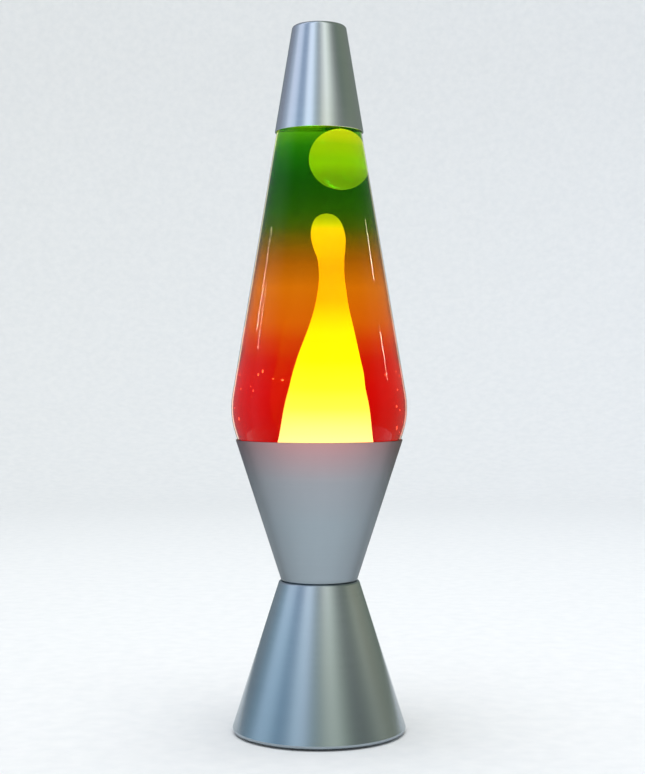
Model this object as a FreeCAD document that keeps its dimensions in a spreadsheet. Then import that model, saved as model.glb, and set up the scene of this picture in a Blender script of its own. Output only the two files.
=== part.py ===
import FreeCAD, Part
import Sketcher
import math
import os

# A table-top lava lamp: a two-cone sheet metal base with a screw-in lamp in its waist, a tapered
# glass globe of wax and liquid that stands loose in the upper cone, and a loose spun cap.
# Millimetres, +Z up, origin on the floor under the middle of the base.

document = FreeCAD.newDocument("lava_lamp")
sheet = document.addObject("Spreadsheet::Sheet", "Sizes")

DRIVING_SIZES = [
    # whole lamp
    ("lamp_height", 368.3),
    ("cap_height", 55.5),
    ("rim_height", 152.6),
    ("waist_height", 79.0),
    # lower cone
    ("foot_proud", 0.8),
    ("stand_foot_radius", 45.8),
    ("stand_shoulder_radius", 20.9),
    ("stand_sheet", 0.8),
    ("stand_foot_round", 3.0),
    ("stand_shoulder_round", 1.3),
    ("stand_lip_width", 7.0),
    # upper cone
    ("cradle_rim_radius", 43.65),
    ("cradle_waist_radius", 19.8),
    ("cradle_sheet", 0.6),
    ("cradle_round", 1.0),
    # spun cap
    ("cap_edge_radius", 23.2),
    ("cap_top_radius", 14.0),
    ("cap_sheet", 0.7),
    ("cap_round", 2.0),
    # glass globe
    ("glass_gap", 0.3),
    ("glass_wall", 2.8),
    ("glass_floor", 3.0),
    ("bulb_headroom", 6.3),
    ("punt_rise", 4.0),
    ("punt_radius", 8.0),
    ("heel_round", 7.0),
    ("belly_rise", 13.4),
    ("belly_round", 42.0),
    ("shoulder_rise", 5.5),
    ("neck_rise", 12.0),
    ("finish_rise", 20.6),
    ("mouth_rise", 26.2),
    ("neck_radius", 12.4),
    ("finish_radius", 13.3),
    ("mouth_radius", 9.4),
    ("crown_radius", 16.05),
    ("crown_sheet", 0.3),
    ("liner_thickness", 0.9),
    # wax and liquid
    ("level_rise", 2.4),
    ("skin_gap", 0.1),
    ("pool_margin", 4.03),
    ("pool_depth", 6.0),
    ("head_share", 0.6892),
    ("head_radius", 6.7),
    ("head_crest_share", 0.06766),
    ("head_shift", 3.6),
    ("blob_half_width", 12.6),
    ("blob_height_share", 0.0891),
    ("blob_glass_gap", 0.77),
    ("blob_level_gap", 2.1),
    ("coil_margin", 7.3),
    ("coil_radius", 2.5),
    ("coil_wire_radius", 0.45),
    # screw-in bulb
    ("tip_drop", 22.0),
    ("bulb_length", 58.7),
    ("bulb_radius", 17.5),
    ("neck_gap", 0.35),
    ("bulb_glass", 0.6),
    ("screw_radius", 8.35),
    ("screw_depth", 0.6),
    ("screw_pitch", 2.822),
    ("screw_sheet", 0.3),
    ("screw_cap_height", 20.0),
    ("contact_height", 1.2),
    ("contact_radius", 3.0),
    ("wire_radius", 0.25),
    ("filament_ring_radius", 6.0),
    # lampholder
    ("screw_gap", 0.3),
    ("fit_gap", 0.05),
    ("barrel_wall", 3.9),
    ("holder_shoulder_width", 2.5),
    ("flange_hole_gap", 0.2),
    ("barrel_rise", 5.0),
    ("holder_floor", 3.0),
    ("holder_skirt", 10.0),
    ("ring_clearance", 2.8),
    ("ring_thickness", 3.0),
    ("washer_thickness", 0.8),
    ("tongue_room", 2.0),
    ("tongue_sheet", 0.4),
    ("terminal_sheet", 0.8),
    ("terminal_reach", 4.9),
    ("terminal_screw_radius", 1.2),
    # underside
    ("plate_thickness", 2.2),
    ("feet_place", 33.0),
    ("foot_radius", 4.5),
    ("foot_stem_radius", 2.0),
    ("grommet_height", 14.0),
    ("grommet_radius", 6.2),
    ("grommet_groove_radius", 4.6),
    ("cord_hole_radius", 3.1),
]

# The rising wax, as round sections: each one's share of the way up from the pool to the cap's edge,
# its radius and its sideways shift.
WAX_SECTIONS = [
    ("root", 0.065, 20.6, 2.2),
    ("rim", 0.139, 18.3, 2.5),
    ("belly", 0.23, 15.9, 3.1),
    ("taper", 0.3234, 12.8, 3.7),
    ("stem", 0.4142, 9.2, 4.4),
    ("throat", 0.5077, 6.1, 5.0),
    ("neck", 0.5985, 4.9, 4.8),
    ("chin", 0.648, 5.9, 4.2),
]
WAX_SIZES = [
    (f"wax_{section}_{what}", value)
    for section, *values in WAX_SECTIONS
    for what, value in zip(("share", "radius", "shift"), values)
]

for row, (alias, number) in enumerate(DRIVING_SIZES + WAX_SIZES, 1):
    sheet.set(f"A{row}", alias)
    sheet.set(f"B{row}", str(number))
    sheet.setAlias(f"B{row}", alias)
document.recompute()


class Size:
    """A length that knows both its value and the spreadsheet formula that keeps it."""

    def __init__(self, value, formula):
        self.value = value
        self.formula = formula

    def __add__(self, other):
        return Size(self.value + as_size(other).value, f"({self.formula} + {as_size(other).formula})")

    def __sub__(self, other):
        return Size(self.value - as_size(other).value, f"({self.formula} - {as_size(other).formula})")

    def __mul__(self, other):
        return Size(self.value * as_size(other).value, f"({self.formula} * {as_size(other).formula})")

    def __truediv__(self, other):
        return Size(self.value / as_size(other).value, f"({self.formula} / {as_size(other).formula})")

    def __neg__(self):
        return Size(-self.value, f"(0 - {self.formula})")


def as_size(number):
    """A plain number as a Size."""
    return number if isinstance(number, Size) else Size(float(number), repr(float(number)))


def size(alias):
    """A driving size, read from the spreadsheet."""
    return Size(float(sheet.get(alias)), f"Sizes.{alias}")


def root(number):
    return Size(math.sqrt(number.value), f"sqrt({number.formula})")


class Slant:
    """The straight side of a cone between two points of radius and height."""

    def __init__(self, low_radius, low_height, high_radius, high_height):
        self.low_radius = low_radius
        self.low_height = low_height
        self.slope = (high_radius - low_radius) / (high_height - low_height)

    def radius(self, height):
        return self.low_radius + self.slope * (height - self.low_height)

    def across(self, thickness):
        """How wide a wall of this thickness is, measured level."""
        return thickness * root(self.slope * self.slope + 1)


# ------------------------------------------------------------------ shapes shared by all the parts


def new_body(node):
    """A body that carries its node's name."""
    body = document.addObject("PartDesign::Body", node)
    body.Label = node
    return body


def new_sketch(body, name, role="XZ_Plane", height=None):
    """A sketch on one of the body's own planes, raised to a height if one is given."""
    sketch = body.newObject("Sketcher::SketchObject", name)
    plane = next(item for item in body.Origin.OriginFeatures if item.Role == role)
    sketch.AttachmentSupport = [(plane, "")]
    sketch.MapMode = "FlatFace"
    if height is not None:
        bind(sketch, "AttachmentOffset.Base.z", height)
    return sketch


def bind(item, place, number):
    """Ties a property to its formula."""
    item.setExpression(place, as_size(number).formula)


def pin_point(sketch, edge, end, across, up):
    """Fixes a point of a sketch at its two sizes from the sketch's origin."""
    for kind, axis, number in (("DistanceX", -2, across), ("DistanceY", -1, up)):
        number = as_size(number)
        if number.value == 0:
            sketch.addConstraint(Sketcher.Constraint("PointOnObject", edge, end, axis))
        else:
            index = sketch.addConstraint(Sketcher.Constraint(kind, -1, 1, edge, end, number.value))
            sketch.setExpression(f"Constraints[{index}]", number.formula)


def draw_lines(sketch, corners, closed=True):
    """Straight lines through the corners, every corner pinned."""
    points = [FreeCAD.Vector(as_size(x).value, as_size(y).value, 0) for x, y in corners]
    ends = points[1:] + points[:1] if closed else points[1:]
    for start, end in zip(points, ends):
        sketch.addGeometry(Part.LineSegment(start, end), False)
    count = len(ends)
    for edge in range(count if closed else count - 1):
        sketch.addConstraint(Sketcher.Constraint("Coincident", edge, 2, (edge + 1) % count, 1))
    for edge in range(count):
        pin_point(sketch, edge, 1, *corners[edge])
    if not closed:
        pin_point(sketch, count - 1, 2, *corners[-1])


def draw_circle(sketch, across, up, radius):
    """A circle with a pinned centre and radius."""
    centre = FreeCAD.Vector(as_size(across).value, as_size(up).value, 0)
    circle = Part.Circle(centre, FreeCAD.Vector(0, 0, 1), radius.value)
    edge = sketch.addGeometry(circle, False)
    if as_size(across).value == 0 and as_size(up).value == 0:
        sketch.addConstraint(Sketcher.Constraint("Coincident", edge, 3, -1, 1))
    else:
        pin_point(sketch, edge, 3, across, up)
    index = sketch.addConstraint(Sketcher.Constraint("Radius", edge, radius.value))
    sketch.setExpression(f"Constraints[{index}]", radius.formula)


def revolve(body, name, corners):
    """Turns an outline of radius and height corners about the upright axis."""
    sketch = new_sketch(body, f"{name}_outline")
    draw_lines(sketch, corners)
    turned = body.newObject("PartDesign::Revolution", name)
    turned.Profile = sketch
    turned.ReferenceAxis = (sketch, ["V_Axis"])
    turned.Angle = 360
    document.recompute()
    return turned


def round_off(body, name, radius, corners):
    """Rounds the level circular edges that pass through the given radius and height corners."""
    feature = body.Tip
    wanted = []
    for number, edge in enumerate(feature.Shape.Edges, 1):
        curve = edge.Curve
        if not isinstance(curve, Part.Circle):
            continue
        for across, up in corners:
            near_radius = abs(curve.Radius - as_size(across).value) < 0.01
            if near_radius and abs(curve.Center.z - as_size(up).value) < 0.01:
                wanted.append(f"Edge{number}")
    if len(wanted) != len(corners):
        raise RuntimeError(f"{name}: found {len(wanted)} edges for {len(corners)} corners")
    fillet = body.newObject("PartDesign::Fillet", name)
    fillet.Base = (feature, wanted)
    bind(fillet, "Radius", radius)
    document.recompute()
    return fillet


def cut(body, name, sketch, depth=None, reverse=False):
    """Pockets a sketch, right through the body both ways unless a depth is given."""
    before = body.Tip.Shape.Volume
    pocket = body.newObject("PartDesign::Pocket", name)
    pocket.Profile = sketch
    if depth is None:
        pocket.Type = "ThroughAll"
        pocket.Midplane = True
    else:
        pocket.Type = "Length"
        bind(pocket, "Length", depth)
        pocket.Reversed = reverse
    document.recompute()
    if pocket.Shape.Volume > before - 1e-6:
        raise RuntimeError(f"{name} cut nothing")
    return pocket


def repeat_round(body, name, feature, count, turn=360):
    """Repeats a feature round the upright axis."""
    axis = next(item for item in body.Origin.OriginFeatures if item.Role == "Z_Axis")
    pattern = body.newObject("PartDesign::PolarPattern", name)
    pattern.Originals = [feature]
    pattern.Axis = (axis, [""])
    pattern.Angle = turn
    pattern.Occurrences = count
    body.Tip = pattern
    document.recompute()
    return pattern


def bent_wire(body, name, role, corners, radius):
    """A round wire along straight runs on an upright plane; the first run is vertical."""
    path = new_sketch(body, f"{name}_path", role)
    draw_lines(path, corners, closed=False)
    across, up = corners[0]
    section = new_sketch(body, f"{name}_section", "XY_Plane", up)
    draw_circle(section, across if role == "XZ_Plane" else 0, 0 if role == "XZ_Plane" else across, radius)
    wire = body.newObject("PartDesign::AdditivePipe", name)
    wire.Profile = section
    wire.Spine = (path, [f"Edge{number}" for number in range(1, len(corners))])
    wire.Transition = "Right corner"
    document.recompute()
    return wire


# ------------------------------------------------------------------ lines that several parts share

waist = size("waist_height")
rim = size("rim_height")
cap_edge = size("lamp_height") - size("cap_height")
stand_bottom = size("foot_proud")
fit = size("fit_gap")

stand_side = Slant(size("stand_foot_radius"), stand_bottom, size("stand_shoulder_radius"), waist)
cradle_side = Slant(size("cradle_waist_radius"), waist, size("cradle_rim_radius"), rim)
cap_side = Slant(size("cap_edge_radius"), cap_edge, size("cap_top_radius"), size("lamp_height"))

# The lower glass runs parallel to the inside of the upper cone, and the flank runs up into the cap.
cradle_to_glass = cradle_side.across(size("cradle_sheet")) + size("glass_gap")
tip = waist - size("tip_drop")
bulb_top = tip + size("bulb_length")
globe_foot = bulb_top + size("bulb_headroom")
belly = rim + size("belly_rise")
belly_radius = cradle_side.radius(belly) - cradle_to_glass
foot_radius = cradle_side.radius(globe_foot) - cradle_to_glass
cap_to_glass = cap_side.across(size("cap_sheet")) + size("glass_gap")
glass_side = Slant(belly_radius, belly, size("cap_edge_radius") - cap_to_glass, cap_edge)
glass_across = glass_side.across(size("glass_wall"))
lower_glass_across = cradle_side.across(size("glass_wall"))
globe_floor = globe_foot + size("glass_floor")
globe_floor_radius = cradle_side.radius(globe_floor) - cradle_to_glass - lower_glass_across
punt_ring_radius = foot_radius - size("heel_round") * 0.95
mouth_height = cap_edge + size("mouth_rise")
liquid_level = cap_edge + size("level_rise")

# The wax stands between the pool's top and the cap's edge, and the blob hangs just under the level,
# clear of the sloping glass by its own gap.
pool_top = globe_floor + size("pool_depth")
pool_radius = globe_floor_radius - size("pool_margin")
wax_span = cap_edge - pool_top
head_height = pool_top + wax_span * size("head_share")
head_crest = wax_span * size("head_crest_share")
blob_half_height = wax_span * size("blob_height_share")
blob_height = liquid_level - size("blob_level_gap") - blob_half_height
blob_lean = blob_half_height * glass_side.slope
blob_reach = root(size("blob_half_width") * size("blob_half_width") + blob_lean * blob_lean)
blob_shift = glass_side.radius(blob_height) - glass_across - blob_reach - size("blob_glass_gap")
coil_ring_radius = pool_radius - size("coil_margin")
coil_height = globe_floor + size("coil_radius") + 3

screw_foot = tip + size("contact_height") * 2.6
screw_top = tip + size("screw_cap_height")
holder_floor_top = tip - size("tongue_room")
holder_floor_foot = holder_floor_top - size("holder_floor")
holder_ledge = tip + 1
holder_skirt_foot = holder_floor_foot - size("holder_skirt")
holder_shoulder = waist - size("stand_sheet")
shell_radius = size("screw_radius") + size("screw_gap")
shell_outer_radius = shell_radius + size("tongue_sheet")
barrel_radius = shell_outer_radius + fit + size("barrel_wall")
holder_radius = barrel_radius + size("holder_shoulder_width")
holder_cavity_radius = holder_radius - 2.2
flange_hole_radius = barrel_radius + size("flange_hole_gap")
ring_radius = size("cradle_waist_radius") - size("ring_clearance")
ledge_radius = size("screw_radius") - 2.85
terminal_screw_place = ledge_radius + size("terminal_reach")
barrel_top = waist + size("barrel_rise")
bulb_neck_radius = size("screw_radius") - size("neck_gap")


# ------------------------------------------------------------------ base


def cord_hole_place(back):
    """A place on the cord hole's axis, behind the stand's surface, its +Z squarely out of the back."""
    height = size("grommet_height")
    lean = math.atan(-stand_side.slope.value)
    outward = FreeCAD.Vector(0, math.cos(lean), math.sin(lean))
    on_surface = FreeCAD.Vector(0, stand_side.radius(height).value, height.value)
    turn = FreeCAD.Rotation(FreeCAD.Vector(1, 0, 0), math.degrees(lean) - 90)
    return FreeCAD.Placement(on_surface - outward * back, turn)


def make_stand_cone():
    """Lower cone, with a rolled-in foot lip and a top flange that the lampholder clamps."""
    body = new_body("stand_cone")
    gauge = size("stand_sheet")
    wall = stand_side.across(gauge)
    under_flange = waist - gauge
    over_lip = stand_bottom + gauge
    lip = size("stand_foot_radius") - size("stand_lip_width")
    inner_shoulder = (stand_side.radius(under_flange) - wall, under_flange)
    inner_foot = (stand_side.radius(over_lip) - wall, over_lip)
    revolve(body, "stand_shell", [
        (lip, stand_bottom),
        (size("stand_foot_radius"), stand_bottom),
        (size("stand_shoulder_radius"), waist),
        (flange_hole_radius, waist),
        (flange_hole_radius, under_flange),
        inner_shoulder,
        inner_foot,
        (lip, over_lip),
    ])
    foot_round = size("stand_foot_round")
    shoulder_round = size("stand_shoulder_round")
    round_off(body, "foot_roll", foot_round, [(size("stand_foot_radius"), stand_bottom)])
    round_off(body, "foot_roll_inside", foot_round - gauge, [inner_foot])
    round_off(body, "shoulder_roll", shoulder_round, [(size("stand_shoulder_radius"), waist)])
    round_off(body, "shoulder_roll_inside", shoulder_round - gauge, [inner_shoulder])
    hole = body.newObject("PartDesign::SubtractiveCylinder", "cord_hole")
    bind(hole, "Radius", size("grommet_groove_radius") + fit * 2)
    bind(hole, "Height", size("grommet_radius") * 2)
    hole.Placement = cord_hole_place(size("grommet_radius").value)
    document.recompute()
    return body


def make_cradle_cone():
    """Upper cone that the globe stands in, with a flange clamped on the lower cone's flange."""
    body = new_body("cradle_cone")
    gauge = size("cradle_sheet")
    wall = cradle_side.across(gauge)
    over_flange = waist + gauge
    inner_corner = (cradle_side.radius(over_flange) - wall, over_flange)
    outer_corner = (size("cradle_waist_radius"), waist)
    revolve(body, "cradle_shell", [
        (flange_hole_radius, waist),
        outer_corner,
        (size("cradle_rim_radius"), rim),
        (size("cradle_rim_radius") - wall, rim),
        inner_corner,
        (flange_hole_radius, over_flange),
    ])
    round_off(body, "waist_round", size("cradle_round"), [outer_corner])
    round_off(body, "waist_round_inside", size("cradle_round") - gauge, [inner_corner])
    rim_edges = [(size("cradle_rim_radius"), rim), (size("cradle_rim_radius") - wall, rim)]
    round_off(body, "rim_edge", gauge * 0.35, rim_edges)
    return body


def make_base_plate():
    """Vented bottom plate, trapped between the foot lip and the narrowing cone."""
    body = new_body("base_plate")
    low = stand_bottom + size("stand_sheet")
    high = low + size("plate_thickness")
    wall = stand_side.across(size("stand_sheet"))
    edge = stand_side.radius(high) - wall - size("glass_gap") * 2
    seat = size("stand_foot_radius") - size("stand_lip_width") + 2.4
    revolve(body, "plate", [(0, low), (seat, low), (edge, low + 1.4), (edge, high), (0, high)])
    slot = new_sketch(body, "vent_outline", "XY_Plane")
    near, far, half = size("feet_place") * 0.4, size("feet_place") * 0.78, size("plate_thickness") * 0.6
    draw_lines(slot, [(near, -half), (far, -half), (far, half), (near, half)])
    vents = cut(body, "vent", slot)
    repeat_round(body, "vents", vents, 16)
    hole = new_sketch(body, "foot_hole_outline", "XY_Plane")
    draw_circle(hole, size("feet_place"), 0, size("foot_stem_radius") + fit)
    holes = cut(body, "foot_hole", hole)
    repeat_round(body, "foot_holes", holes, 4)
    return body


def make_rubber_feet():
    """Four push-in feet, each with a pad under the plate, a stem through it and a barbed head."""
    body = new_body("rubber_feet")
    under = stand_bottom + size("stand_sheet")
    over = under + size("plate_thickness")
    place = size("feet_place")
    pad, stem, barb = size("foot_radius"), size("foot_stem_radius"), size("foot_stem_radius") + 0.8
    sketch = new_sketch(body, "foot_outline")
    draw_lines(sketch, [
        (place, 0),
        (place + pad - 0.5, 0),
        (place + pad, 0.5),
        (place + pad, under),
        (place + stem, under),
        (place + stem, over),
        (place + barb, over),
        (place + stem * 0.6, over + 1.6),
        (place, over + 1.6),
    ])
    foot = body.newObject("PartDesign::Revolution", "foot")
    foot.Profile = sketch
    foot.ReferenceAxis = (sketch, ["Edge9"])
    foot.Angle = 360
    document.recompute()
    repeat_round(body, "feet", foot, 4)
    return body


def make_cord_grommet():
    """Rubber grommet in the back of the lower cone, with an open bore for a supply cord."""
    body = new_body("cord_grommet")
    flange, groove, bore = size("grommet_radius"), size("grommet_groove_radius"), size("cord_hole_radius")
    inside = size("stand_sheet") + 0.6
    revolve(body, "grommet", [
        (bore, -inside - 1.6),
        (flange - 0.6, -inside - 1.6),
        (flange - 0.2, -inside),
        (groove, -inside),
        (groove, 0),
        (flange, 0),
        (flange - 0.8, 1.8),
        (bore, 2.4),
    ])
    body.Placement = cord_hole_place(0)
    return body


# ------------------------------------------------------------------ lampholder


def make_lampholder_body():
    """Moulded holder hung in the waist: a barrel up through both flanges and a shoulder under them."""
    body = new_body("lampholder_body")
    bore = shell_outer_radius + fit
    revolve(body, "holder", [
        (0, holder_floor_foot),
        (holder_cavity_radius, holder_floor_foot),
        (holder_cavity_radius, holder_skirt_foot),
        (holder_radius, holder_skirt_foot),
        (holder_radius, holder_shoulder),
        (barrel_radius, holder_shoulder),
        (barrel_radius, barrel_top),
        (barrel_radius - 0.9, barrel_top),
        (bore, screw_top + 1),
        (bore, holder_ledge),
        (ledge_radius, holder_ledge),
        (ledge_radius, holder_floor_top),
        (0, holder_floor_top),
    ])
    for name, place, radius, depth in terminal_holes():
        hole = new_sketch(body, f"{name}_outline", "XY_Plane", holder_floor_foot)
        draw_circle(hole, place, 0, radius)
        cut(body, name, hole, depth, reverse=True)
    return body


def terminal_holes():
    """The drillings in the holder's floor: name, place across, radius and depth upwards."""
    screw = size("terminal_screw_radius") + fit
    screw_depth = size("holder_floor") + 1.5
    post = size("wire_radius") * 3.6 + fit
    through_floor = holder_floor_top - holder_floor_foot
    through_ledge = holder_ledge - holder_floor_foot
    return [
        ("centre_screw_hole", -terminal_screw_place, screw, screw_depth),
        ("shell_screw_hole", terminal_screw_place, screw, screw_depth),
        ("centre_post_hole", -(ledge_radius - 1.5), post, through_floor),
        ("shell_post_hole", ledge_radius + 1.7, post, through_ledge),
    ]


def make_lampholder_ring():
    """Notched ring nut that clamps both cones down on the holder's shoulder."""
    body = new_body("lampholder_ring")
    low = waist + size("cradle_sheet") + size("washer_thickness")
    high = low + size("ring_thickness")
    inner, outer = barrel_radius + fit, ring_radius
    revolve(body, "ring", [(inner, low), (outer, low), (outer, high), (inner, high)])
    round_off(body, "ring_round", size("washer_thickness"), [(outer, high)])
    notch = new_sketch(body, "notch_outline", "XY_Plane", high + 1)
    draw_circle(notch, outer + 0.6, 0, size("ring_thickness") * 0.6)
    notches = cut(body, "notch", notch, size("ring_thickness") + 2)
    repeat_round(body, "notches", notches, 8)
    return body


def make_lampholder_washer():
    """Fibre washer between the ring nut and the upper cone's flange."""
    body = new_body("lampholder_washer")
    low = waist + size("cradle_sheet")
    high = low + size("washer_thickness")
    inner, outer = flange_hole_radius, ring_radius + 0.5
    revolve(body, "washer", [(inner, low), (outer, low), (outer, high), (inner, high)])
    return body


def make_lampholder_shell():
    """Brass sleeve that takes the bulb's screw cap, standing on the holder's ledge."""
    body = new_body("lampholder_shell")
    gauge = size("tongue_sheet")
    revolve(body, "sleeve", [
        (ledge_radius + 0.5, holder_ledge),
        (shell_outer_radius, holder_ledge),
        (shell_outer_radius, screw_top),
        (shell_radius, screw_top),
        (shell_radius, holder_ledge + gauge),
        (ledge_radius + 0.5, holder_ledge + gauge),
    ])
    return body


def make_lampholder_tongue():
    """Sprung centre contact, a strip bent up under the bulb's tip."""
    body = new_body("lampholder_tongue")
    gauge = size("tongue_sheet")
    low, high = holder_floor_top, tip - size("screw_gap") - gauge
    back, bend, crest, end = -(ledge_radius - 0.4), -(ledge_radius * 0.45), -0.8, ledge_radius * 0.45
    strip = new_sketch(body, "strip_outline")
    draw_lines(strip, [
        (back, low),
        (bend, low),
        (crest, high),
        (end, high),
        (end, high + gauge),
        (crest - 0.2, high + gauge),
        (bend - 0.2, low + gauge),
        (back, low + gauge),
    ])
    pad = body.newObject("PartDesign::Pad", "strip")
    pad.Profile = strip
    pad.Midplane = True
    bind(pad, "Length", size("contact_radius") * 1.4)
    return body


def make_terminal(node, near, far, post_place, post_top):
    """Brass terminal plate under the holder's floor, with a post up to the contact it feeds."""
    body = new_body(node)
    low = holder_floor_foot - size("terminal_sheet")
    half = size("terminal_screw_radius") * 2
    plate = new_sketch(body, f"{node}_outline", "XY_Plane", low)
    draw_lines(plate, [(near, -half), (far, -half), (far, half), (near, half)])
    pad = body.newObject("PartDesign::Pad", f"{node}_plate")
    pad.Profile = plate
    bind(pad, "Length", size("terminal_sheet"))
    document.recompute()
    screw_place = terminal_screw_place if near.value > 0 else -terminal_screw_place
    hole = new_sketch(body, f"{node}_hole_outline", "XY_Plane", low)
    draw_circle(hole, screw_place, 0, size("terminal_screw_radius") + fit)
    cut(body, f"{node}_hole", hole)
    post = new_sketch(body, f"{node}_post_outline", "XY_Plane", low)
    draw_circle(post, post_place, 0, size("wire_radius") * 3.6)
    rise = body.newObject("PartDesign::Pad", f"{node}_post")
    rise.Profile = post
    bind(rise, "Length", post_top - low)
    return body


def make_terminal_screws():
    """Two slotted terminal screws, heads down, for the ends of a supply cord."""
    body = new_body("terminal_screws")
    place, shank = terminal_screw_place, size("terminal_screw_radius")
    seat = holder_floor_foot - size("terminal_sheet")
    head = shank * 1.9
    sketch = new_sketch(body, "screw_outline")
    draw_lines(sketch, [
        (place, seat - 1.6),
        (place + head * 0.8, seat - 1.6),
        (place + head, seat - 1.2),
        (place + head, seat),
        (place + shank, seat),
        (place + shank, holder_floor_foot + size("holder_floor") + 1),
        (place, holder_floor_foot + size("holder_floor") + 1),
    ])
    screw = body.newObject("PartDesign::Revolution", "screw")
    screw.Profile = sketch
    screw.ReferenceAxis = (sketch, ["Edge7"])
    screw.Angle = 360
    document.recompute()
    repeat_round(body, "screws", screw, 2)
    slot = new_sketch(body, "slot_outline", "XY_Plane", seat - 1.6)
    far = place + head * 1.2
    draw_lines(slot, [(-far, -0.3), (far, -0.3), (far, 0.3), (-far, 0.3)])
    cut(body, "slot", slot, as_size(0.8), reverse=True)
    return body


def make_lampholder_end_cap():
    """Push-in cover under the terminals, with a hole for the supply leads."""
    body = new_body("lampholder_end_cap")
    foot = holder_skirt_foot
    plug = holder_cavity_radius - fit
    lead_hole = size("cord_hole_radius")
    revolve(body, "cover", [
        (lead_hole, foot - 1.2),
        (holder_radius, foot - 1.2),
        (holder_radius, foot),
        (plug, foot),
        (plug, foot + 2),
        (plug - 1.2, foot + 2),
        (plug - 1.2, foot + 0.4),
        (lead_hole, foot + 0.4),
    ])
    return body


# ------------------------------------------------------------------ bulb


def bulb_outline(inset):
    """The bulb's glass outline, drawn in by an inset: neck, cone and domed top."""
    neck, widest = bulb_neck_radius - inset, size("bulb_radius") - inset
    shoulder, crest = screw_top + 2.5, bulb_top - inset
    return [(neck, shoulder), (widest, bulb_top - size("bulb_radius") * 1.02), (widest, crest)]


def make_bulb_envelope():
    """Hollow glass bulb, open at the foot where it is cemented in the screw cap."""
    body = new_body("bulb_envelope")
    glass = size("bulb_glass")
    foot = screw_top - 3
    outer, inner = bulb_outline(as_size(0)), bulb_outline(glass)
    revolve(body, "envelope", [
        (outer[0][0], foot), *outer, (0, outer[2][1]), (0, inner[2][1]), *reversed(inner), (inner[0][0], foot),
    ])
    round_off(body, "dome", size("bulb_radius") - 0.1, [outer[2]])
    round_off(body, "dome_inside", size("bulb_radius") - glass - 0.1, [inner[2]])
    round_off(body, "neck_sweep", size("bulb_radius") * 0.6, [outer[0], inner[0]])
    return body


def make_bulb_screw_cap():
    """Thin screw cap with rounded ridges at the thread's pitch."""
    body = new_body("bulb_screw_cap")
    crest, depth, gauge = size("screw_radius"), size("screw_depth"), size("screw_sheet")
    pitch = size("screw_pitch")
    steps = [(crest - depth, screw_foot)]
    for turn in range(4):
        steps.append((crest - depth, screw_foot + pitch * (turn + 0.25)))
        steps.append((crest, screw_foot + pitch * (turn + 0.75)))
        steps.append((crest, screw_foot + pitch * (turn + 1.0)))
    steps[-1] = (crest, screw_top)
    inside = [(across - gauge, up) for across, up in reversed(steps)]
    revolve(body, "thread_shell", steps + inside)
    return body


def make_bulb_insulator():
    """Black glass between the screw cap and the tip contact."""
    body = new_body("bulb_insulator")
    low = tip + size("contact_height") + fit
    wide = size("screw_radius") - size("screw_depth") - size("screw_sheet") - fit
    revolve(body, "insulator", [
        (0, low),
        (size("contact_radius") * 1.15, low),
        (wide, screw_foot),
        (wide, screw_foot + 1),
        (0, screw_foot + 1),
    ])
    return body


def make_bulb_tip():
    """Solder contact at the foot of the bulb, on the turning axis."""
    body = new_body("bulb_tip")
    top, wide = tip + size("contact_height"), size("contact_radius")
    revolve(body, "solder", [(0, tip), (wide * 0.4, tip), (wide, tip + 0.7), (wide, top), (0, top)])
    return body


def stem_top():
    return bulb_top - size("bulb_radius") * 1.2


def make_bulb_stem():
    """Glass stem flared at its foot to meet the neck, pressed flat-topped round the lead wires."""
    body = new_body("bulb_stem")
    foot = screw_top - 2.5
    wide = bulb_neck_radius - size("bulb_glass") - fit
    top = stem_top()
    revolve(body, "stem", [
        (wide - 0.6, foot),
        (wide, foot),
        (wide, foot + 0.8),
        (2.6, foot + 6),
        (2.2, top),
        (0, top),
        (0, top - 4),
        (1.2, top - 4),
        (1.6, foot + 5),
    ])
    return body


def make_bulb_lead_wires():
    """Two lead-in wires from the stem out to the filament's ends."""
    body = new_body("bulb_lead_wires")
    reach = size("filament_ring_radius")
    wire = bent_wire(body, "lead_wire", "XZ_Plane", [
        (1.4, stem_top()),
        (1.4, stem_top() + 1),
        (reach, stem_top() + reach),
    ], size("wire_radius"))
    repeat_round(body, "lead_wires", wire, 2)
    return body


def make_bulb_support_wire():
    """Middle support for the filament."""
    body = new_body("bulb_support_wire")
    reach = size("filament_ring_radius")
    bent_wire(body, "support", "YZ_Plane", [
        (0, stem_top()),
        (0, stem_top() + 1),
        (-reach, stem_top() + reach),
    ], size("wire_radius"))
    return body


def make_bulb_filament():
    """Coiled filament, drawn as the half ring that its coil fills."""
    filament = document.addObject("Part::Torus", "bulb_filament")
    filament.Label = "bulb_filament"
    bind(filament, "Radius1", size("filament_ring_radius"))
    bind(filament, "Radius2", size("wire_radius") * 1.6)
    filament.Angle3 = 180
    filament.Placement.Rotation = FreeCAD.Rotation(FreeCAD.Vector(0, 0, 1), 180)
    lift = size("wire_radius") * 2.4
    bind(filament, "Placement.Base.z", stem_top() + size("filament_ring_radius") + lift)
    return filament


# ------------------------------------------------------------------ globe


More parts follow.
